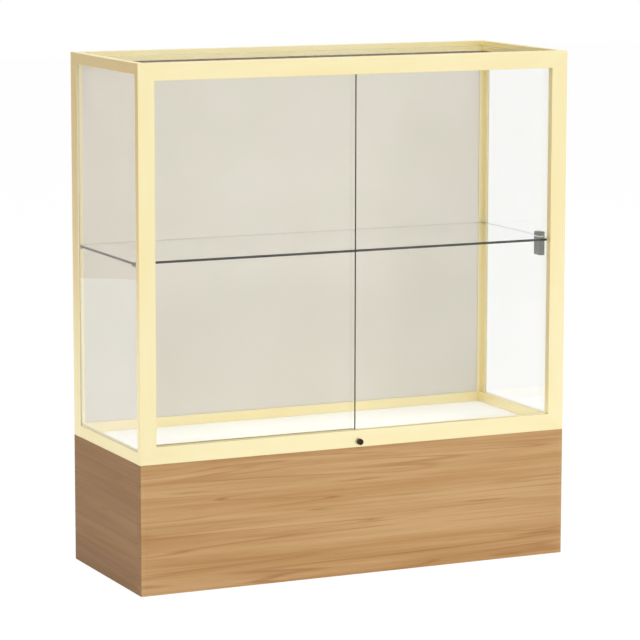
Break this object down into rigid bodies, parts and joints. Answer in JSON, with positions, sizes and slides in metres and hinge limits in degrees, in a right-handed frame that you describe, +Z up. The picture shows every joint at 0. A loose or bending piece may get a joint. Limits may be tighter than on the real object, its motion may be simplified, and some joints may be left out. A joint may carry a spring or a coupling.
{
  "type": "wooden display case",
  "caption": "Counter display case: a veneered wooden box base under a gold metal frame glazed on sides and top, glass shelf, and overlapping sliding glass doors that lock.",
  "frame": {"origin": "middle of the underside of the wooden base, halfway between the front and back faces of the case", "axes": "+Z up, front with the doors and the lock faces -Y, +X to the right of someone who faces the front"},
  "size_m": [0.9144, 0.3621, 1.016],
  "materials": {
    "wood_veneer": "satin lacquered light walnut-brown veneer, grain along the length",
    "plain_board": "raw plywood",
    "gold_frame": "satin pale gold anodised",
    "mill_aluminium": "plain mill finish",
    "glass": "clear polished float glass",
    "white_board": "white melamine-faced board",
    "clear_vinyl": "clear soft vinyl",
    "clip_metal": "satin grey",
    "nylon": "natural nylon",
    "steel": "zinc plated",
    "dark_bronze": "dark bronze plated",
    "black_rubber": "matte black"
  },
  "bodies": {
    "case": {"base_front_panel": "wood_veneer", "base_back_panel": "wood_veneer", "base_left_panel": "wood_veneer", "base_right_panel": "wood_veneer", "base_left_corner_strip": "wood_veneer", "base_right_corner_strip": "wood_veneer", "base_top_panel": "plain_board", "base_bottom_panel": "plain_board", "base_corner_blocks": "plain_board", "front_left_post": "gold_frame", "front_right_post": "gold_frame", "front_top_rail": "gold_frame", "front_bottom_rail": "gold_frame", "left_top_rail": "gold_frame", "right_top_rail": "gold_frame", "left_bottom_rail": "gold_frame", "right_bottom_rail": "gold_frame", "back_left_post": "gold_frame", "back_right_post": "gold_frame", "back_top_rail": "gold_frame", "back_bottom_rail": "gold_frame", "lower_track": "gold_frame", "upper_track": "gold_frame", "front_corner_keys": "mill_aluminium", "side_rail_spigots": "mill_aluminium", "side_rail_plugs": "mill_aluminium", "back_rail_spigots": "mill_aluminium", "left_side_glass": "glass", "right_side_glass": "glass", "top_glass": "glass", "shelf_glass": "glass", "back_panel": "white_board", "deck_panel": "white_board", "left_glass_seal": "clear_vinyl", "right_glass_seal": "clear_vinyl", "top_glass_tape": "clear_vinyl", "shelf_clip_pads": "clear_vinyl", "right_shelf_clip": "clip_metal", "shelf_pins": "clip_metal", "base_block_screws": "steel", "side_rail_screws": "steel", "frame_screws": "steel", "lower_track_screws": "steel", "upper_track_screws": "steel", "lock_spring_clip": "steel", "lock_barrel": "dark_bronze", "track_bumpers": "black_rubber"},
    "left_door": {"left_door_glass": "glass", "left_door_shoe": "gold_frame", "left_door_glides": "nylon", "left_door_strike": "steel"},
    "right_door": {"right_door_glass": "glass", "right_door_shoe": "gold_frame", "right_door_glides": "nylon", "right_door_strike": "steel"},
    "lock_plug": {"lock_plug": "dark_bronze", "lock_cam": "steel", "lock_cam_screw": "steel"}
  },
  "joints": [
    {"name": "left_door_slide", "type": "slide", "parent": "case", "child": "left_door", "axis": [1, 0, 0], "range_m": [0, 0.4296]},
    {"name": "right_door_slide", "type": "slide", "parent": "case", "child": "right_door", "axis": [1, 0, 0], "range_m": [-0.4396, 0]},
    {"name": "lock_turn", "type": "hinge", "parent": "case", "child": "lock_plug", "pos_m": [0.003, -0.1778, 0.2647], "axis": [0, -1, 0], "range_deg": [0, 90]}
  ]
}
